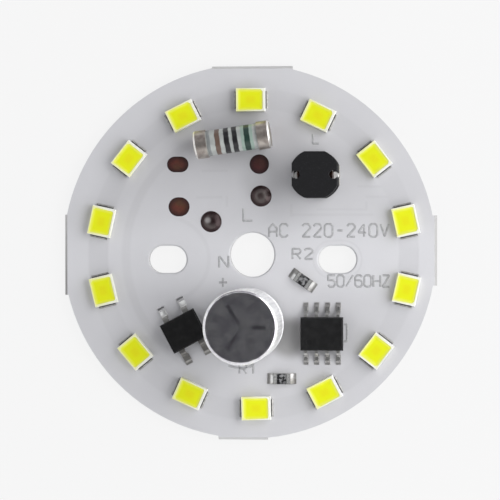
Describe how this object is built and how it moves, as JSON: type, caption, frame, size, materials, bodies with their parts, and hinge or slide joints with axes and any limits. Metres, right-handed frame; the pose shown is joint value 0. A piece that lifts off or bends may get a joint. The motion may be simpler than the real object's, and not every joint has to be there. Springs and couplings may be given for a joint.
{
  "type": "driver-on-board led module",
  "caption": "Round aluminium-base lamp board with a ring of white LEDs round an on-board mains driver, a wire hole in the middle and slots for screws.",
  "frame": {"origin": "centre of the wire hole, on the board's back face", "axes": "+Z out of the component face, +X along the line of the two screw slots towards the inductor's side"},
  "size_m": [0.044, 0.044, 0.0113],
  "materials": {
    "board": "white solder mask over an aluminium base, satin",
    "copper": "bare copper, tarnished reddish brown",
    "wire_solder": "shiny solder dome",
    "led_housing": "white moulded plastic",
    "led_phosphor": "yellow-green phosphor in clear silicone",
    "tinned_lead": "bright tin plate",
    "solder": "satin solder",
    "capacitor_can": "bare drawn aluminium, polished edge",
    "rubber_bung": "black rubber",
    "ferrite": "black sintered ferrite, matt",
    "winding": "enamelled copper wire",
    "chip_moulding": "black moulding compound, matt",
    "resistor_coating": "pale grey-green coating with colour bands",
    "resistor_cap": "pressed steel cap, tinned",
    "resistor_ceramic": "white alumina",
    "resistor_overcoat": "black glaze"
  },
  "bodies": {
    "root": {"board": "board", "copper_pads": "copper", "wire_solder": "wire_solder", "led_housing_01": "led_housing", "led_housing_02": "led_housing", "led_housing_03": "led_housing", "led_housing_04": "led_housing", "led_housing_05": "led_housing", "led_housing_06": "led_housing", "led_housing_07": "led_housing", "led_housing_08": "led_housing", "led_housing_09": "led_housing", "led_housing_10": "led_housing", "led_housing_11": "led_housing", "led_housing_12": "led_housing", "led_housing_13": "led_housing", "led_housing_14": "led_housing", "led_phosphor_01": "led_phosphor", "led_phosphor_02": "led_phosphor", "led_phosphor_03": "led_phosphor", "led_phosphor_04": "led_phosphor", "led_phosphor_05": "led_phosphor", "led_phosphor_06": "led_phosphor", "led_phosphor_07": "led_phosphor", "led_phosphor_08": "led_phosphor", "led_phosphor_09": "led_phosphor", "led_phosphor_10": "led_phosphor", "led_phosphor_11": "led_phosphor", "led_phosphor_12": "led_phosphor", "led_phosphor_13": "led_phosphor", "led_phosphor_14": "led_phosphor", "led_terminals": "tinned_lead", "led_solder": "solder", "capacitor_can": "capacitor_can", "capacitor_bung": "rubber_bung", "capacitor_leads": "tinned_lead", "inductor_core": "ferrite", "inductor_winding": "winding", "inductor_terminals": "tinned_lead", "driver_body": "chip_moulding", "driver_leads": "tinned_lead", "bridge_body": "chip_moulding", "bridge_leads": "tinned_lead", "fuse_resistor_body": "resistor_coating", "fuse_resistor_caps": "resistor_cap", "component_solder": "solder", "chip_resistor_1_ceramic": "resistor_ceramic", "chip_resistor_1_overcoat": "resistor_overcoat", "chip_resistor_1_terminals": "tinned_lead", "chip_resistor_2_ceramic": "resistor_ceramic", "chip_resistor_2_overcoat": "resistor_overcoat", "chip_resistor_2_terminals": "tinned_lead"}
  },
  "joints": []
}
